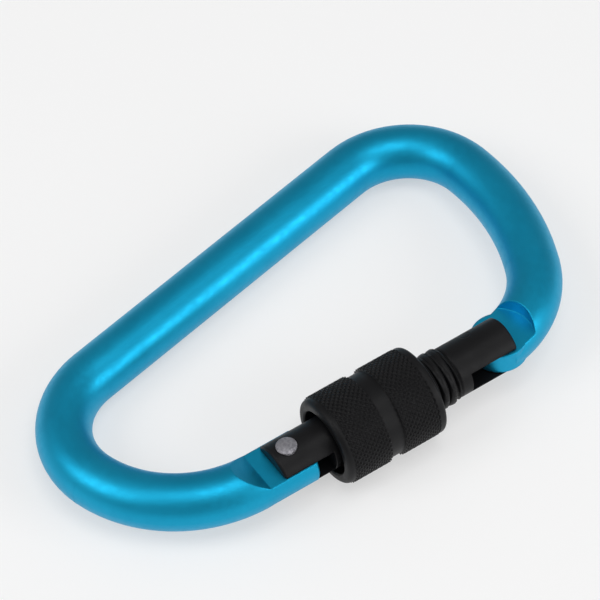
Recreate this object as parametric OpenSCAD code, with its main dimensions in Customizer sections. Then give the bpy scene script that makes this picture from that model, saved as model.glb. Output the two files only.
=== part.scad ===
// Screw-lock carabiner: a bent round bar body, a sprung tubular gate on a rivet,
// and a knurled sleeve that screws along the gate to cover the nose.
// The D lies flat in XY, the gate runs along X with the hinge at the low end.

/* [Body] */
// Diameter of the round bar
bar_d = 10.5; // [9.5:0.25:12.6]
// Length of the straight spine
spine_len = 68; // [56:0.5:82]
// Angle between the spine and the gate
spine_lean = 12; // [9:0.5:15]
// Straight run behind the hinge rivet
hinge_run = 6.6; // [5.5:0.1:8]
// Centreline radius of the bend next to the hinge
hinge_bend_r = 25; // [21:0.5:30]
// Angle turned by the bend next to the hinge
hinge_bend_a = 74; // [66:1:82]
// Centreline radius of the small end
heel_r = 16.5; // [14:0.5:20]
// Centreline radius of the large end's crown
crown_r = 15.8; // [13:0.2:19]
// Angle turned by the crown
crown_a = 95; // [88:1:100]
// Centreline radius of the large end's flat bow
bow_r = 51; // [44:1:60]
// Angle turned by the flat bow
bow_a = 32; // [26:1:36]

/* [Hinge tongue] */
// Thickness left between the two hinge flats
hinge_tongue_t = 4.6; // [3.9:0.1:5.2]
// Length of the tongue past the rivet axis
hinge_tongue_len = 3.6; // [3:0.1:4.3]
// Distance of the shoulder's foot behind the rivet axis
shoulder_back = 6.5; // [6.2:0.1:7.8]
// Length over which the slanting shoulder rises
shoulder_run = 4.6; // [3.8:0.1:5.5]
// Chamfer round the tongue's end
tongue_chamfer = 0.35; // [0.3:0.05:0.4]

/* [Nose] */
// Thickness left between the two nose flats
nose_tongue_t = 4.3; // [3.6:0.1:5]
// Distance from the bend's start to the middle of the round nose
nose_round_x = 2.4; // [2:0.1:2.9]
// Offset of the round nose toward the spine
nose_shift = 0.3; // [0.25:0.05:0.35]
// Amount by which the nose's radius passes the bar's
nose_spread = 0.1; // [0.1:0.01:0.12]
// Distance from the bend's start to the middle of the round pocket
pocket_x = 1.4; // [1.2:0.1:1.7]
// Amount by which the pocket's radius passes the bar's
pocket_margin = 2.2; // [1.9:0.1:2.6]

/* [Gate] */
// Outside diameter of the gate tube
gate_d = 10.2; // [9.4:0.1:10.4]
// Length of the gate behind the rivet axis
gate_tail = 3.3; // [2.9:0.1:3.9]
// Length of the gate past the straight nose
gate_overlap = 3.3; // [2.8:0.1:3.8]
// Edge chamfer on the gate's ends
gate_chamfer = 0.35; // [0.3:0.05:0.4]
// Radius of the prongs' corners seen from above
gate_corner_r = 1.5; // [1.3:0.1:1.8]
// Side clearance of the hinge tongue in its slot
hinge_slot_gap = 0.15; // [0.13:0.01:0.18]
// Side clearance of the nose tongue in its slot
nose_slot_gap = 0.35; // [0.3:0.05:0.4]
// Distance from the rivet axis to the root of the hinge slot
hinge_root_x = 7.2; // [6.8:0.1:8.4]
// Distance from the nose tip to the root of the nose slot
nose_root_gap = 4.2; // [3.8:0.1:5]

/* [Screw thread] */
// Thread pitch
pitch = 1.75; // [1.5:0.05:2.1]
// Thread crest height above the gate tube
crest_h = 0.4; // [0.33:0.01:0.48]
// Depth of the thread from crest to root
thread_h = 0.75; // [0.65:0.01:0.85]
// Radial clearance between the two threads
thread_gap = 0.2; // [0.17:0.01:0.24]
// Distance from the rivet axis to the start of the gate's thread
thread_start = 10.6; // [10:0.1:12.4]
// Plain tube left between the thread and the nose slot
thread_margin = 2.1; // [1.8:0.1:2.5]

/* [Locking sleeve] */
// Outside diameter over the knurled bands
sleeve_d = 17.8; // [15.6:0.1:21]
// Length of the sleeve
sleeve_len = 21.5; // [18:0.5:25]
// Distance from the rivet axis to the unlocked sleeve
sleeve_open_x = 7.7; // [7.2:0.1:8.8]
// Bare gate end left past the locked sleeve
lock_margin = 1.1; // [0.9:0.1:1.3]
// Length of the plain collar at the hinge end
collar_len = 1.5; // [1.2:0.1:1.8]
// Depth of the collar below the knurl
collar_drop = 0.3; // [0.25:0.05:0.35]
// Length of the knurled band at the hinge end
band_1_len = 7.7; // [6.4:0.1:9.2]
// Length of the plain waist between the bands
waist_len = 3.2; // [2.6:0.1:3.8]
// Depth of the waist below the knurl
waist_drop = 0.55; // [0.45:0.05:0.65]
// Length of the plain nose end past the second band
lip_len = 1.6; // [1.3:0.1:1.9]
// Chamfer of the sleeve's nose end
lip_chamfer = 0.55; // [0.45:0.05:0.65]
// Chamfer of the sleeve's hinge end
collar_chamfer = 0.45; // [0.35:0.05:0.55]
// Diameter of the counterbore at the hinge end
counterbore_d = 13; // [12.4:0.1:14]
// Depth of the counterbore
counterbore_len = 4.6; // [4.4:0.1:5.4]
// Length of the sleeve's own thread
nut_len = 4.6; // [3.8:0.1:5.5]
// Radial clearance of the bore over the gate's thread
bore_gap = 0.25; // [0.21:0.01:0.3]
// Diameter of the mouth that passes the nose
mouth_d = 14.4; // [13.6:0.1:14.8]
// Length of plain bore between the thread and the mouth
bore_land = 0.8; // [0.7:0.1:1]

/* [Friction ring] */
// Distance of the ring from the sleeve's hinge end
ring_inset = 3.1; // [2.8:0.1:3.3]
// Width of the ring
ring_w = 1; // [0.8:0.05:1.1]
// Height of the ring outside the counterbore wall
ring_lip = 0.3; // [0.25:0.05:0.4]
// Running clearance of the ring
ring_gap = 0.05; // [0.04:0.01:0.06]

/* [Rivet and latch pin] */
// Diameter of the rivet's shank
rivet_d = 3; // [2.6:0.1:3.4]
// Diameter of the rivet's peened heads
rivet_head_d = 3.95; // [3.7:0.05:4.7]
// Height of each head over the gate tube
rivet_head_h = 0.12; // [0.1:0.01:0.15]
// Rise of the head's dome
rivet_dome_h = 0.25; // [0.2:0.05:0.3]
// Running clearance of the rivet in the tongue
pivot_gap = 0.05; // [0.04:0.01:0.06]
// Diameter of the latch pin
pin_d = 2; // [1.7:0.1:2.4]
// Distance of the latch pin's axis inside the gate's side
pin_inset = 2.5; // [2.1:0.1:3]
// Clearance of the latch pin from the nose
pin_gap = 0.15; // [0.13:0.01:0.18]
// Fitting clearance of the rivet and pin in the gate
fit_gap = 0.02; // [0.02:0.01:0.03]

/* [Gate spring] */
// Diameter of the spring plunger
plunger_d = 3.8; // [3.4:0.1:4]
// Length of the plunger's head
plunger_len = 8.2; // [7.6:0.1:9.4]
// Length of the plunger's stem inside the spring
stem_len = 4; // [3.4:0.1:4.6]
// Diameter of the stem
stem_d = 1.8; // [1.5:0.1:1.9]
// Running clearance of the plunger in its bore
plunger_gap = 0.06; // [0.05:0.01:0.07]
// Chamfer on the plunger's face
plunger_chamfer = 0.3; // [0.25:0.05:0.35]
// Installed length of the spring
spring_len = 10.5; // [9:0.5:12.5]
// Wire diameter of the spring
wire_d = 0.6; // [0.5:0.05:0.65]
// Coil diameter of the spring, wire centre to wire centre
coil_d = 2.8; // [2.6:0.05:2.95]
// Number of coils
coils = 8; // [6:1:10]

/* [Hidden] */
$fn = 96;
bar_r = bar_d / 2;
joint_lip = 0.015;
gate_r = gate_d / 2;

// headings turn clockwise from the hinge, round the small end, to the nose
function step(a, b) = [sin(a) - sin(b), cos(b) - cos(a)];
function centre(p, h, r) = p + r * [sin(h), -cos(h)];
head_0 = 180;
head_1 = head_0 - hinge_bend_a;
head_2 = spine_lean;
head_3 = head_2 - crown_a;
head_4 = head_3 - bow_a;
head_5 = -180;
p_0 = [-hinge_run, 0];
p_1 = p_0 + hinge_bend_r * step(head_0, head_1);
p_2 = p_1 + heel_r * step(head_1, head_2);
p_3 = p_2 + spine_len * [cos(head_2), sin(head_2)];
p_4 = p_3 + crown_r * step(head_2, head_3);
p_5 = p_4 + bow_r * step(head_3, head_4);
// the last bend brings the bar back onto the gate's axis
nose_bend_r = p_5.y / (1 + cos(head_4));
p_6 = p_5 + nose_bend_r * step(head_4, head_5);
nose_x = p_6.x;

// extents of the D, which place the origin at its middle
x_low = centre(p_1, head_1, heel_r).x - heel_r - bar_r;
x_high = centre(p_4, head_3, bow_r).x + bow_r + bar_r;
y_high = centre(p_3, head_2, crown_r).y + crown_r + bar_r;
sleeve_r = sleeve_d / 2;
y_low = -sleeve_r;
origin = [(x_low + x_high) / 2, (y_low + y_high) / 2, 0];

pad_x = nose_x + nose_round_x;
pad_r = bar_r + nose_spread;
pocket_r = bar_r + pocket_margin;
tip_x = pad_x - pad_r;
nose_root_x = tip_x - nose_root_gap;
gate_end_x = nose_x + gate_overlap;
// the closed gate's pin bears on the side of the round nose that faces the spine
pin_y = gate_r - pin_inset;
pin_reach = pad_r + pin_d / 2 + pin_gap;
pin_x = pad_x - sqrt(pin_reach * pin_reach - (pin_y - nose_shift) * (pin_y - nose_shift));

crest_r = gate_r + crest_h;
root_r = crest_r - thread_h;
thread_end = nose_root_x - thread_margin;
core_r = root_r - 0.05;

travel = gate_end_x - lock_margin - sleeve_open_x - sleeve_len;
turns = travel / pitch;
band_r = sleeve_r;
counterbore_r = counterbore_d / 2;
bore_r = crest_r + bore_gap;
mouth_r = mouth_d / 2;
ring_r = counterbore_r + ring_lip;
nut_start = counterbore_len;
nut_end = nut_start + nut_len;
band_1_end = collar_len + band_1_len;
band_2_start = band_1_end + waist_len;
band_2_end = sleeve_len - lip_len;

plunger_x = hinge_tongue_len + 0.05;
shoulder_x = plunger_x + plunger_len;
bore_end = shoulder_x + spring_len;
spring_bore_r = plunger_d / 2 + plunger_gap;
rivet_seat = sqrt(gate_r * gate_r - rivet_head_d * rivet_head_d / 4);
rivet_rim = gate_r + rivet_head_h;
dome_r = (rivet_head_d * rivet_head_d / 4 + rivet_dome_h * rivet_dome_h) / (2 * rivet_dome_h);

body_color = [0.10, 0.62, 0.78];
black = [0.07, 0.07, 0.08];
steel = [0.75, 0.75, 0.77];

// ---- shared shapes ----
module place() {
    translate(-origin)
        children();
}

// cylinder along X between two stations
module xcyl(r, x0, x1) {
    translate([x0, 0, 0])
        rotate([0, 90, 0])
            cylinder(h = x1 - x0, r = r);
}

module xcone(r0, r1, x0, x1) {
    translate([x0, 0, 0])
        rotate([0, 90, 0])
            cylinder(h = x1 - x0, r1 = r0, r2 = r1);
}

// round bar with a chamfered edge at each end
module xrod(r, x0, x1, c0, c1) {
    xcone(r - c0, r, x0, x0 + c0);
    xcyl(r, x0 + c0, x1 - c1);
    xcone(r, r - c1, x1 - c1, x1);
}

module block(x0, x1, y0, y1, z0, z1) {
    translate([x0, y0, z0])
        cube([x1 - x0, y1 - y0, z1 - z0]);
}

module both_faces() {
    children();
    mirror([0, 0, 1])
        children();
}

module bend(p, h0, h1, r) {
    translate(centre(p, h0, r))
        rotate([0, 0, h1 + 90])
            rotate_extrude(angle = h0 - h1)
                translate([r, 0])
                    circle(r = bar_r);
}

// thin collar that joins two lengths of bar where they meet
module joint(p, h) {
    translate(p)
        rotate([0, 0, h])
            xcyl(bar_r + joint_lip, -0.05, 0.05);
}

// ---- body ----
module bar() {
    xrod(bar_r, -hinge_run, hinge_tongue_len, 0, tongue_chamfer);
    bend(p_0, head_0, head_1, hinge_bend_r);
    bend(p_1, head_1, head_2, heel_r);
    translate(p_2)
        rotate([0, 0, head_2])
            xcyl(bar_r, 0, spine_len);
    bend(p_3, head_2, head_3, crown_r);
    bend(p_4, head_3, head_4, bow_r);
    difference() {
        bend(p_5, head_4, head_5, nose_bend_r);
        block(nose_x - 2, pad_x, -bar_d, bar_d, -bar_d, bar_d);
    }
    nose_round();
    joint(p_0, head_0);
    joint(p_1, head_1);
    joint(p_2, head_2);
    joint(p_3, head_2);
    joint(p_4, head_3);
    joint(p_5, head_4);
}

// the nose ends in a full round, seen from above
module nose_round() {
    translate([pad_x, nose_shift, -bar_r + 1])
        cylinder(h = bar_d - 2, r = pad_r);
}

module hinge_cut() {
    rise = bar_r - hinge_tongue_t / 2;
    slope = shoulder_run / rise;
    translate([0, bar_r + 2, 0])
        rotate([90, 0, 0])
            linear_extrude(height = bar_d + 4)
                polygon([
                    [-shoulder_back, hinge_tongue_t / 2],
                    [hinge_tongue_len + 5, hinge_tongue_t / 2],
                    [hinge_tongue_len + 5, bar_r + 2],
                    [-shoulder_back - slope * (rise + 2), bar_r + 2]
                ]);
}

module nose_cut() {
    floor_z = nose_tongue_t / 2;
    block(tip_x - 3, nose_x + pocket_x, -bar_d, bar_d, floor_z, bar_d);
    translate([nose_x + pocket_x, 0, floor_z])
        cylinder(h = bar_d, r = pocket_r);
}

module body() {
    color(body_color)
        place()
            difference() {
                bar();
                both_faces()
                    hinge_cut();
                both_faces()
                    nose_cut();
                translate([0, 0, -bar_d])
                    cylinder(h = 2 * bar_d, r = rivet_d / 2 + pivot_gap);
            }
}

// ---- screw thread: rows of points that climb one pitch a turn ----
sides = 20;
rows = 4;
row_at = [0, 0.3, 0.5, 0.8];
row_h = [1, 1, 0, 0];
function row_z(i) = (floor(i / rows) + row_at[i % rows]) * pitch;
function row_r(i, r0, r1) = r0 + (r1 - r0) * row_h[i % rows];
function grid_pt(j, i, r0, r1) =
    let (a = 360 * j / sides, r = row_r(i, r0, r1))
    [r * cos(a), r * sin(a), row_z(i) + pitch * j / sides];
// column 0 carries one extra turn of rows, which closes the seam
function vid(j, i, m) = j == 0 ? i : (j == sides ? i + rows : m + rows + 1 + (j - 1) * (m + 1) + i);

module thread_solid(r0, r1, length) {
    m = rows * ceil(length / pitch);
    last = m + rows;
    pts = concat(
        [for (i = [0 : last]) grid_pt(0, i, r0, r1)],
        [for (j = [1 : sides - 1]) for (i = [0 : m]) grid_pt(j, i, r0, r1)],
        [[0, 0, pitch / 2], [0, 0, row_z(m) + pitch / 2]]
    );
    low = len(pts) - 2;
    high = len(pts) - 1;
    skin = [for (j = [0 : sides - 1]) for (i = [0 : m - 1]) for (k = [0, 1])
        k == 0
            ? [vid(j, i, m), vid(j, i + 1, m), vid(j + 1, i, m)]
            : [vid(j + 1, i, m), vid(j, i + 1, m), vid(j + 1, i + 1, m)]];
    low_loop = [for (j = [0 : sides - 1]) [low, vid(j, 0, m), vid(j + 1, 0, m)]];
    low_step = [for (i = [0 : rows - 1]) [low, i + 1, i]];
    high_loop = [for (j = [0 : sides - 1]) [high, vid(j + 1, m, m), vid(j, m, m)]];
    high_step = [for (i = [0 : rows - 1]) [high, m + i, m + i + 1]];
    polyhedron(points = pts, faces = concat(skin, low_loop, low_step, high_loop, high_step));
}

// a thread starting at station x, in phase with every other thread on the gate
module xthread(r0, r1, x, length) {
    start = thread_start + pitch * floor((x - thread_start) / pitch) - pitch;
    translate([start, 0, 0])
        rotate([0, 90, 0])
            thread_solid(r0, r1, length + 3 * pitch);
}

// ---- gate ----
module gate_thread() {
    fade = thread_h + 0.3;
    intersection() {
        xthread(root_r, crest_r, thread_start, thread_end - thread_start);
        union() {
            xcone(crest_r + 0.1 - fade, crest_r + 0.1, thread_start, thread_start + fade);
            xcyl(crest_r + 0.1, thread_start + fade, thread_end - fade);
            xcone(crest_r + 0.1, crest_r + 0.1 - fade, thread_end - fade, thread_end);
        }
    }
}

module gate_bores() {
    hinge_half = hinge_tongue_t / 2 + hinge_slot_gap;
    nose_half = nose_tongue_t / 2 + nose_slot_gap;
    block(-gate_tail - 1, hinge_root_x, -gate_d, gate_d, -hinge_half, hinge_half);
    block(nose_root_x, gate_end_x + 1, -gate_d, gate_d, -nose_half, nose_half);
    xcyl(spring_bore_r, 0, bore_end);
    translate([0, 0, -gate_d])
        cylinder(h = 2 * gate_d, r = rivet_d / 2 + fit_gap);
    both_faces()
        translate([0, 0, rivet_seat])
            cylinder(h = 5, r = rivet_head_d / 2 + fit_gap);
    translate([pin_x, pin_y, -gate_d])
        cylinder(h = 2 * gate_d, r = pin_d / 2 + fit_gap);
    corner_cuts(-gate_tail, 1);
    corner_cuts(gate_end_x, -1);
}

// rounds the two corners of a gate end, seen from above; dir points into the gate
module corner_cuts(x, dir) {
    for (side = [-1, 1])
        difference() {
            translate([x + dir * (gate_corner_r / 2 - 1), side * (gate_r - gate_corner_r / 2 + 1), 0])
                cube([gate_corner_r + 2, gate_corner_r + 2, 2 * gate_d], center = true);
            translate([x + dir * gate_corner_r, side * (gate_r - gate_corner_r), -gate_d - 1])
                cylinder(h = 2 * gate_d + 2, r = gate_corner_r);
        }
}

module gate() {
    color(black)
        place()
            difference() {
                union() {
                    xrod(gate_r, -gate_tail, thread_start, gate_chamfer, 0.3);
                    xcyl(core_r, thread_start - 1, thread_end + 1);
                    gate_thread();
                    xrod(gate_r, thread_end - 0.3, gate_end_x, 0.3, gate_chamfer);
                }
                gate_bores();
            }
}

// ---- locking sleeve, drawn unlocked ----
module sleeve_outside() {
    collar_r = band_r - collar_drop;
    lip_r = band_r - 0.1;
    xrod(collar_r, 0, collar_len + 0.5, collar_chamfer, 0);
    xrod(band_r, collar_len, band_1_end, 0.2, 0.2);
    xcyl(band_r - waist_drop, band_1_end - 0.5, band_2_start + 0.5);
    xrod(band_r, band_2_start, band_2_end, 0.2, 0.2);
    xrod(lip_r, band_2_end - 0.5, sleeve_len, 0, lip_chamfer);
}

module locking_sleeve() {
    color(black)
        place()
            difference() {
                translate([sleeve_open_x, 0, 0])
                    sleeve_outside();
                translate([sleeve_open_x, 0, 0]) {
                    xcyl(counterbore_r, -1, nut_start);
                    xcyl(ring_r + ring_gap, ring_inset - ring_gap, ring_inset + ring_w + ring_gap);
                    xcyl(bore_r, nut_end, sleeve_len + 1);
                    xcyl(mouth_r, nut_end + bore_land, sleeve_len + 1);
                }
                intersection() {
                    xthread(root_r + thread_gap, crest_r + thread_gap,
                        sleeve_open_x + nut_start - pitch, nut_len + pitch);
                    xcyl(bore_r + 1, sleeve_open_x + nut_start - 0.5, sleeve_open_x + nut_end + 0.5);
                }
            }
}

module friction_ring() {
    color([0.13, 0.13, 0.13])
        place()
            translate([sleeve_open_x + ring_inset, 0, 0])
                difference() {
                    xcyl(ring_r, 0, ring_w);
                    xcyl(crest_r + ring_gap, -1, ring_w + 1);
                }
}

// ---- small parts ----
module hinge_rivet() {
    color(steel)
        place() {
            translate([0, 0, -rivet_seat - 0.1])
                cylinder(h = 2 * rivet_seat + 0.2, r = rivet_d / 2);
            both_faces()
                translate([0, 0, rivet_seat])
                    cylinder(h = rivet_rim - rivet_seat, r = rivet_head_d / 2);
            both_faces()
                intersection() {
                    translate([0, 0, rivet_rim + rivet_dome_h - dome_r])
                        sphere(r = dome_r);
                    translate([0, 0, rivet_rim - 0.2])
                        cylinder(h = 2, r = rivet_head_d / 2);
                }
        }
}

module latch_pin() {
    color([0.16, 0.16, 0.17])
        place()
            intersection() {
                translate([pin_x, pin_y, -gate_d])
                    cylinder(h = 2 * gate_d, r = pin_d / 2);
                xcyl(gate_r - 0.02, pin_x - pin_d, pin_x + pin_d);
            }
}

module spring_plunger() {
    color(steel)
        place() {
            xrod(plunger_d / 2, plunger_x, shoulder_x, plunger_chamfer, 0.1);
            xrod(stem_d / 2, shoulder_x - 0.5, shoulder_x + stem_len, 0, 0.2);
        }
}

// coil of round wire, swept along its own helix
coil_steps = 14;
wire_sides = 6;
function coil_pt(t) = [coil_d / 2 * cos(360 * t), coil_d / 2 * sin(360 * t)];
module gate_spring() {
    n = coils * coil_steps;
    lead = (spring_len - wire_d - 0.1) / coils;
    slope = atan(lead / (PI * coil_d));
    pts = [for (s = [0 : n]) for (w = [0 : wire_sides - 1])
        let (a = 360 * s / coil_steps, b = 360 * w / wire_sides)
        [
            (coil_d / 2 + wire_d / 2 * cos(b)) * cos(a) + wire_d / 2 * sin(b) * sin(slope) * sin(a),
            (coil_d / 2 + wire_d / 2 * cos(b)) * sin(a) - wire_d / 2 * sin(b) * sin(slope) * cos(a),
            lead * s / coil_steps + wire_d / 2 * sin(b) * cos(slope)
        ]];
    skin = [for (s = [0 : n - 1]) for (w = [0 : wire_sides - 1]) for (k = [0, 1])
        let (v = (w + 1) % wire_sides, lo = s * wire_sides, hi = lo + wire_sides)
        k == 0 ? [lo + w, hi + w, lo + v] : [lo + v, hi + w, hi + v]];
    start = [for (w = [0 : wire_sides - 1]) w];
    finish = [for (w = [wire_sides - 1 : -1 : 0]) n * wire_sides + w];
    color(steel)
        place()
            translate([shoulder_x + 0.05 + wire_d / 2, 0, 0])
                rotate([0, 90, 0])
                    polyhedron(points = pts, faces = concat(skin, [start, finish]));
}

body();
gate();
locking_sleeve();
friction_ring();
hinge_rivet();
latch_pin();
spring_plunger();
gate_spring();
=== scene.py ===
import math

import bmesh
import bpy
from mathutils import Matrix, Vector

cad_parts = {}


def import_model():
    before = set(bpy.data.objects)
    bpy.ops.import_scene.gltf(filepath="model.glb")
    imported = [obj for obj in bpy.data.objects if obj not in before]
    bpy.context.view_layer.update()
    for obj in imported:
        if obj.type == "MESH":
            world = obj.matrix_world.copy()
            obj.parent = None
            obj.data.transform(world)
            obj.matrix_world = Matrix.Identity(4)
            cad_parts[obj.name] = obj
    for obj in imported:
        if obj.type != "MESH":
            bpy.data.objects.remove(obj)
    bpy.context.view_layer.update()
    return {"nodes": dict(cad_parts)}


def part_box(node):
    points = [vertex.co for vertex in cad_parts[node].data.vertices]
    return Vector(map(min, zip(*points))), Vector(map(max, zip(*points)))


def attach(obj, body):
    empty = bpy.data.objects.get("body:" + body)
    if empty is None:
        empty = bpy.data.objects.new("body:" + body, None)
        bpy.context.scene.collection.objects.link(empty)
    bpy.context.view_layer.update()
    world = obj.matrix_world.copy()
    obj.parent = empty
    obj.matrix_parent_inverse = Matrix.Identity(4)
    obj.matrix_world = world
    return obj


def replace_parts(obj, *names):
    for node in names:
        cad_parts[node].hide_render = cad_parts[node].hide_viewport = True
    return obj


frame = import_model()
MM = 0.001
TAU = 2 * math.pi

# Measures of the object in millimetres, taken from the frame
low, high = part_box("locking_sleeve")
SLEEVE_X0, SLEEVE_X1 = low.x / MM, high.x / MM
SLEEVE_R = (high.z - low.z) / 2 / MM
AXIS_Y = (low.y + high.y) / 2 / MM
low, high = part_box("hinge_rivet")
RIVET = Vector(((low.x + high.x) / 2, (low.y + high.y) / 2, 0))
RIVET_TOP = high.z / MM
low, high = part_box("gate")
GATE_X0, GATE_X1 = low.x / MM, high.x / MM
CREST_R = high.z / MM


# ---------------------------------------------------------------- materials
class Nodes:
    """Small helper that adds and links shader nodes."""

    def __init__(self, name):
        self.mat = bpy.data.materials.new(name)
        self.mat.use_nodes = True
        self.tree = self.mat.node_tree
        self.bsdf = self.tree.nodes["Principled BSDF"]
        self.coord = self.add("ShaderNodeTexCoord").outputs["Object"]

    def add(self, kind, **values):
        node = self.tree.nodes.new(kind)
        for key, value in values.items():
            setattr(node, key, value)
        return node

    def link(self, out, socket):
        self.tree.links.new(out, socket)

    def noise(self, scale, detail=3.0, rough=0.5, stretch=None, coord=None):
        node = self.add("ShaderNodeTexNoise")
        node.inputs["Scale"].default_value = scale
        node.inputs["Detail"].default_value = detail
        node.inputs["Roughness"].default_value = rough
        source = coord or self.coord
        if stretch:
            mapping = self.add("ShaderNodeMapping")
            mapping.inputs["Scale"].default_value = stretch
            self.link(source, mapping.inputs["Vector"])
            source = mapping.outputs["Vector"]
        self.link(source, node.inputs["Vector"])
        return node.outputs["Fac"]

    def ramp(self, fac, stops):
        node = self.add("ShaderNodeValToRGB")
        elements = node.color_ramp.elements
        while len(elements) < len(stops):
            elements.new(0.5)
        for element, (pos, colour) in zip(elements, stops):
            element.position = pos
            element.color = (*colour, 1) if len(colour) == 3 else colour
        self.link(fac, node.inputs["Fac"])
        return node.outputs["Color"]

    def map(self, fac, a0, a1, b0, b1):
        node = self.add("ShaderNodeMapRange")
        for key, value in zip(("From Min", "From Max", "To Min", "To Max"), (a0, a1, b0, b1)):
            node.inputs[key].default_value = value
        self.link(fac, node.inputs["Value"])
        return node.outputs["Result"]

    def math(self, kind, a, b):
        node = self.add("ShaderNodeMath", operation=kind)
        for socket, value in zip(node.inputs, (a, b)):
            if isinstance(value, (int, float)):
                socket.default_value = value
            else:
                self.link(value, socket)
        return node.outputs["Value"]

    def mix(self, fac, a, b):
        node = self.add("ShaderNodeMix", data_type="RGBA")
        for index, value in ((0, fac), (6, a), (7, b)):
            if isinstance(value, (int, float)):
                node.inputs[index].default_value = value
            elif isinstance(value, tuple):
                node.inputs[index].default_value = (*value, 1)
            else:
                self.link(value, node.inputs[index])
        return node.outputs[2]

    def bump(self, height, distance, strength=1.0, normal=None):
        node = self.add("ShaderNodeBump")
        node.inputs["Distance"].default_value = distance
        node.inputs["Strength"].default_value = strength
        self.link(height, node.inputs["Height"])
        if normal:
            self.link(normal, node.inputs["Normal"])
        return node.outputs["Normal"]

    def round_edges(self, radius):
        """Shading normal with every edge rounded off by a small radius."""
        node = self.add("ShaderNodeBevel", samples=6)
        node.inputs["Radius"].default_value = radius
        return node.outputs["Normal"]

    def set(self, **values):
        for key, value in values.items():
            socket = self.bsdf.inputs[key.replace("_", " ")]
            if hasattr(value, "is_linked"):
                self.link(value, socket)
            else:
                socket.default_value = (*value, 1) if isinstance(value, tuple) else value
        return self.mat


def srgb(r, g, b):
    return tuple(c / 255 / 12.92 if c <= 10 else ((c / 255 + 0.055) / 1.055) ** 2.4 for c in (r, g, b))


def edge_wear(n, low, high):
    """1 on convex edges, from the mesh's pointiness."""
    geometry = n.add("ShaderNodeNewGeometry")
    return n.map(geometry.outputs["Pointiness"], low, high, 0, 1)


def blue_metal():
    n = Nodes("anodised_blue")
    tone = n.noise(90, 4, 0.55)
    colour = n.ramp(tone, [(0.25, srgb(22, 158, 199)), (0.75, srgb(28, 169, 210))])
    grain = n.noise(5200, 2, 0.6)
    coarse = n.noise(900, 3, 0.6)
    height = n.math("ADD", n.math("MULTIPLY", grain, 0.7), n.math("MULTIPLY", coarse, 0.3))
    rough = n.map(coarse, 0.3, 0.7, 0.4, 0.5)
    return n.set(Base_Color=colour, Metallic=0.92, Roughness=rough,
                 Normal=n.bump(height, 0.00005, 0.35, n.round_edges(0.0004)))


def black_metal(name, stretch=(1, 1, 1), scale=2500.0):
    n = Nodes(name)
    tone = n.noise(160, 4, 0.6)
    colour = n.ramp(tone, [(0.3, srgb(12, 12, 14)), (0.7, srgb(18, 18, 20))])
    grain = n.noise(scale, 3, 0.6, stretch=stretch)
    rough = n.map(n.noise(300, 3, 0.5), 0.3, 0.7, 0.42, 0.54)
    return n.set(Base_Color=colour, Metallic=0.1, Roughness=rough, Specular_IOR_Level=0.22,
                 Normal=n.bump(grain, 0.00003, 0.4, n.round_edges(0.0003)))


def rivet_metal():
    n = Nodes("peened_rivet")
    dents = n.noise(1500, 3, 0.6)
    fine = n.noise(6000, 2, 0.5)
    height = n.math("ADD", dents, n.math("MULTIPLY", fine, 0.25))
    colour = n.ramp(dents, [(0.3, srgb(140, 139, 146)), (0.7, srgb(186, 185, 191))])
    return n.set(Base_Color=colour, Metallic=0.9, Roughness=n.map(fine, 0.3, 0.7, 0.32, 0.48),
                 Normal=n.bump(height, 0.00016, 0.7))


def spring_metal():
    n = Nodes("drawn_wire")
    lines = n.noise(3000, 3, 0.5, stretch=(0.2, 1, 1))
    colour = n.ramp(lines, [(0.3, srgb(150, 150, 154)), (0.7, srgb(182, 182, 186))])
    return n.set(Base_Color=colour, Metallic=1.0, Roughness=n.map(lines, 0.3, 0.7, 0.25, 0.4),
                 Normal=n.bump(lines, 0.00003, 0.4))


def ring_plastic():
    n = Nodes("black_nylon")
    mottle = n.noise(1400, 4, 0.6)
    colour = n.ramp(mottle, [(0.3, srgb(20, 20, 21)), (0.7, srgb(30, 30, 31))])
    return n.set(Base_Color=colour, Roughness=n.map(mottle, 0.3, 0.7, 0.5, 0.65),
                 Normal=n.bump(mottle, 0.00004, 0.5))


BLUE = blue_metal()
TUBE = black_metal("black_tube", stretch=(6, 1, 1))
SLEEVE = black_metal("black_sleeve", stretch=(6, 1, 1))
LOOKS = {"body": BLUE, "gate": TUBE, "hinge_rivet": rivet_metal(),
         "latch_pin": black_metal("black_pin"), "spring_plunger": spring_metal(),
         "gate_spring": None, "friction_ring": ring_plastic()}
LOOKS["gate_spring"] = LOOKS["spring_plunger"]
for node_name, look in LOOKS.items():
    node = frame["nodes"][node_name]
    node.data.materials.clear()
    node.data.materials.append(look)


# ---------------------------------------------------------------- geometry
def finish_mesh(bm, name, material, body, smooth_angle=35):
    mesh = bpy.data.meshes.new(name)
    bmesh.ops.remove_doubles(bm, verts=bm.verts, dist=1e-6)
    bmesh.ops.recalc_face_normals(bm, faces=bm.faces)
    bm.to_mesh(mesh)
    bm.free()
    mesh.materials.append(material)
    obj = bpy.data.objects.new(name, mesh)
    bpy.context.scene.collection.objects.link(obj)
    for polygon in mesh.polygons:
        polygon.use_smooth = True
    mesh.set_sharp_from_angle(angle=math.radians(smooth_angle))
    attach(obj, body)
    return obj


def at(x, r, a):
    """A point of the gate's own cylinder: station x, radius r, angle a, all but a in mm."""
    return Vector((x * MM, (AXIS_Y + r * math.cos(a)) * MM, r * math.sin(a) * MM))


def revolve(bm, profile, segments, closed=False):
    """Turn a list of (x, r) points round the gate's axis."""
    rings = [[bm.verts.new(at(x, r, TAU * k / segments)) for k in range(segments)]
             for x, r in profile]
    pairs = list(zip(rings, rings[1:]))
    if closed:
        pairs.append((rings[-1], rings[0]))
    for ring, following in pairs:
        for k in range(segments):
            j = (k + 1) % segments
            bm.faces.new((ring[k], ring[j], following[j], following[k]))
    return rings


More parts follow.
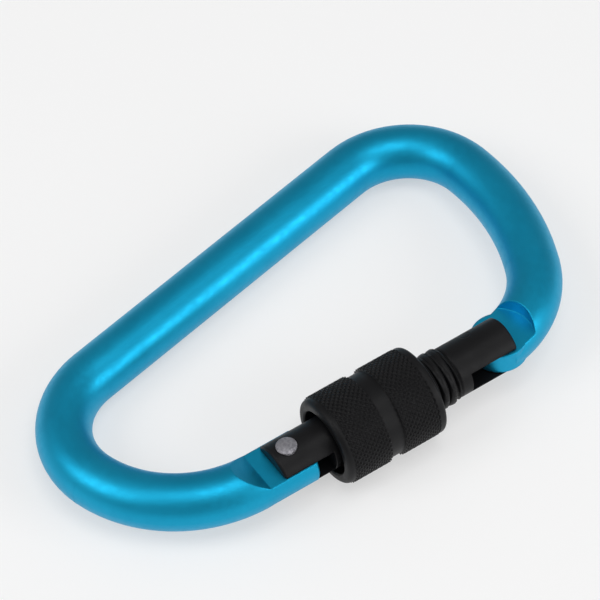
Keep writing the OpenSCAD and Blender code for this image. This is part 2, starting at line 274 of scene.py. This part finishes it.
# knurled sleeve
KNURL_DEPTH = 0.34
KNURL_COUNT = 46
KNURL_PITCH = 1.1
COLLAR = 1.5
COLLAR_ROUND = 1.1
BAND_1 = 7.7
WAIST = 3.2
LIP = 1.6
LIP_ROUND = 0.8
COUNTERBORE_R = 6.5
NUT_START = 4.6
NUT_LEN = 4.6
BORE_R = 5.7
MOUTH_R = 7.2
PITCH = 1.75


def knurl_band(bm, x0, x1):
    """Raised diamonds with small flat tops, over a band between two stations."""
    root, top = SLEEVE_R - KNURL_DEPTH, SLEEVE_R - 0.01
    cells = max(2, round((x1 - x0) / KNURL_PITCH * 2))
    half_x = (x1 - x0) / cells
    half_a = TAU / KNURL_COUNT / 2
    for row in range(cells + 1):
        for col in range(KNURL_COUNT):
            a = (2 * col + row % 2) * half_a
            x = x0 + row * half_x
            corners = [(x - half_x, a), (x, a - half_a), (x + half_x, a), (x, a + half_a)]
            tops = [(x + (cx - x) * 0.34, a + (ca - a) * 0.34) for cx, ca in corners]
            if row == 0:
                corners[0], tops[0] = (x, a), (x, a)
            elif row == cells:
                corners[2], tops[2] = (x, a), (x, a)
            low_ring = [bm.verts.new(at(cx, root, ca)) for cx, ca in corners]
            high_ring = [bm.verts.new(at(cx, top, ca)) for cx, ca in tops]
            for k in range(4):
                j = (k + 1) % 4
                bm.faces.new((low_ring[k], low_ring[j], high_ring[j], high_ring[k]))
            bm.faces.new(high_ring)


def sleeve_piece():
    bm = bmesh.new()
    r = SLEEVE_R
    x0, x1 = SLEEVE_X0, SLEEVE_X1
    collar, lip = r - 0.3, r - 0.12
    root = r - KNURL_DEPTH
    a0, a1 = x0 + COLLAR, x0 + COLLAR + BAND_1
    b0, b1 = a1 + WAIST, x1 - LIP
    nut0, nut1 = x0 + NUT_START, x0 + NUT_START + NUT_LEN
    quarter = [math.pi / 2 * k / 8 for k in range(9)]
    round_in = [(x0 + COLLAR_ROUND * (1 - math.sin(t)), collar - COLLAR_ROUND * (1 - math.cos(t)))
                for t in reversed(quarter)]
    lip_round = [(x1 - LIP_ROUND * (1 - math.sin(t)), lip - LIP_ROUND * (1 - math.cos(t)))
                 for t in quarter]
    turns = int(NUT_LEN / PITCH * 2)
    threads = [(nut1 - (k + 0.5) * PITCH / 2, BORE_R - (0.12 if k % 2 else 0)) for k in range(turns)]
    outer = [*round_in, (a0, collar), (a0, root), (a1, root), (a1, r - 0.55),
             (b0, r - 0.55), (b0, root), (b1, root), (b1, lip), *lip_round]
    inner = [(x1, MOUTH_R + 0.15), (x1 - 0.15, MOUTH_R), (nut1 + 0.8, MOUTH_R), (nut1 + 0.8, BORE_R),
             (nut1, BORE_R), *threads, (nut0, BORE_R), (nut0, COUNTERBORE_R),
             (x0 + 4.15, COUNTERBORE_R), (x0 + 4.15, 6.85), (x0 + 3.05, 6.85),
             (x0 + 3.05, COUNTERBORE_R), (x0 + 0.25, COUNTERBORE_R), (x0, COUNTERBORE_R + 0.25)]
    revolve(bm, outer + inner, 160, closed=True)
    knurl_band(bm, a0, a1)
    knurl_band(bm, b0, b1)
    return finish_mesh(bm, "knurled_sleeve", SLEEVE, "sleeve", 30)


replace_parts(sleeve_piece(), "locking_sleeve")

# rounded thread ridges over the gate's thread
THREAD_X0 = RIVET.x / MM + 10.6
THREAD_X1 = RIVET.x / MM + 35.3


def thread_ridge():
    bm = bmesh.new()
    steps, half, section = 72, 0.8, 11
    turns = (THREAD_X1 - THREAD_X0) / PITCH
    rings = []
    count = int(turns * steps)
    for s in range(count + 1):
        t = s / steps
        x = THREAD_X0 + PITCH * (t - 0.6)
        ring = []
        for k in range(section):
            u = math.pi * k / (section - 1)
            px = x - half * math.cos(u)
            fade = max(0.0, min(1.0, (THREAD_X1 - px) / 0.9))
            rise = (CREST_R + 0.01 - 4.75) * math.sin(u) ** 0.9 * fade
            ring.append(bm.verts.new(at(px, 4.72 + rise, -TAU * t)))
        rings.append(ring)
    for a, b in zip(rings, rings[1:]):
        for k in range(section - 1):
            bm.faces.new((a[k], a[k + 1], b[k + 1], b[k]))
    return finish_mesh(bm, "thread_ridge", TUBE, "gate", 60)


thread_ridge()

# ---------------------------------------------------------------- stage
ELEVATION, TURN, ROLL = (math.radians(v) for v in (49.39, 28.91, 6.0))
DISTANCE, SHIFT_X, SHIFT_Y, FOCAL_PX = 0.63296, -0.0021, -0.02956, 3500


def view_axes():
    """Right, up and backward directions of the camera."""
    ce, se, ct, st = math.cos(ELEVATION), math.sin(ELEVATION), math.cos(TURN), math.sin(TURN)
    side = Vector((ct, -st, 0))
    rise = Vector((st * se, ct * se, ce))
    back = Vector((-st * ce, -ct * ce, se))
    right = math.cos(ROLL) * side - math.sin(ROLL) * rise
    up = math.sin(ROLL) * side + math.cos(ROLL) * rise
    return right, up, back


def camera():
    right, up, back = view_axes()
    data = bpy.data.cameras.new("camera")
    data.sensor_width = 36
    data.lens = 36 * FOCAL_PX / 600
    data.clip_start, data.clip_end = 0.01, 20
    obj = bpy.data.objects.new("camera", data)
    bpy.context.scene.collection.objects.link(obj)
    centre = RIVET - SHIFT_X * right - SHIFT_Y * up + DISTANCE * back
    obj.matrix_world = Matrix.Translation(centre) @ Matrix((right, up, back)).transposed().to_4x4()
    bpy.context.scene.camera = obj
    return obj


def floor_look():
    """White floor that still takes the object's shadow, half as deep to the eye."""
    n = Nodes("floor")
    n.set(Base_Color=srgb(248, 248, 248), Roughness=0.9, Specular_IOR_Level=0.0)
    path = n.add("ShaderNodeLightPath")
    seen = n.math("ADD", path.outputs["Is Camera Ray"], path.outputs["Is Glossy Ray"])
    seen = n.math("ADD", seen, path.outputs["Is Transmission Ray"])
    white = n.add("ShaderNodeEmission")
    mix = n.add("ShaderNodeMixShader")
    n.link(n.math("MULTIPLY", seen, 0.5), mix.inputs["Fac"])
    n.link(n.bsdf.outputs["BSDF"], mix.inputs[1])
    n.link(white.outputs["Emission"], mix.inputs[2])
    n.link(mix.outputs["Shader"], n.tree.nodes["Material Output"].inputs["Surface"])
    return n.mat


def stage_floor():
    a, b = Vector((-0.040, 0.0115, -0.00525)), Vector((0.034, 0.0278, -0.00525))
    touch = Vector((0, AXIS_Y * MM, -SLEEVE_R * MM))
    along = (b - a).normalized()
    normal = along.cross(touch - a).normalized()
    if normal.z < 0:
        normal.negate()
    across = normal.cross(along)
    bm = bmesh.new()
    size = 1.6
    centre = a.lerp(b, 0.5) - normal * 0.00005
    corners = [bm.verts.new(centre + along * i * size + across * j * size)
               for i, j in ((-1, -1), (1, -1), (1, 1), (-1, 1))]
    bm.faces.new(corners)
    mesh = bpy.data.meshes.new("floor")
    bm.to_mesh(mesh)
    bm.free()
    obj = bpy.data.objects.new("floor", mesh)
    bpy.context.scene.collection.objects.link(obj)
    mesh.materials.append(floor_look())
    return obj


def mirror_direction(u, v):
    """Where a lamp stands, 1 m off, to shine on faces that lean u right and v up in the view."""
    right, up, back = view_axes()
    normal = u * right + v * up + math.sqrt(1 - u * u - v * v) * back
    return 2 * normal.dot(back) * normal - back


def area(name, location, size, power, target=(0, 0, 0)):
    data = bpy.data.lights.new(name, "AREA")
    data.shape = "RECTANGLE"
    data.size, data.size_y = size
    data.energy = power
    obj = bpy.data.objects.new(name, data)
    bpy.context.scene.collection.objects.link(obj)
    obj.location = location
    direction = Vector(target) - Vector(location)
    obj.rotation_euler = direction.to_track_quat("-Z", "Y").to_euler()
    return obj


def world():
    data = bpy.data.worlds.new("world")
    bpy.context.scene.world = data
    data.use_nodes = True
    background = data.node_tree.nodes["Background"]
    background.inputs["Color"].default_value = (1, 1, 1, 1)
    background.inputs["Strength"].default_value = 0.34


camera()
stage_floor()
world()
area("softbox_left", mirror_direction(-0.38, 0.12), (0.5, 0.5), 2.8)
area("softbox_top", mirror_direction(0.06, 0.24), (0.5, 0.5), 2.6)
area("softbox_right", mirror_direction(0.5, 0.0), (0.5, 0.5), 3.4)
bpy.context.scene.view_settings.view_transform = "Standard"
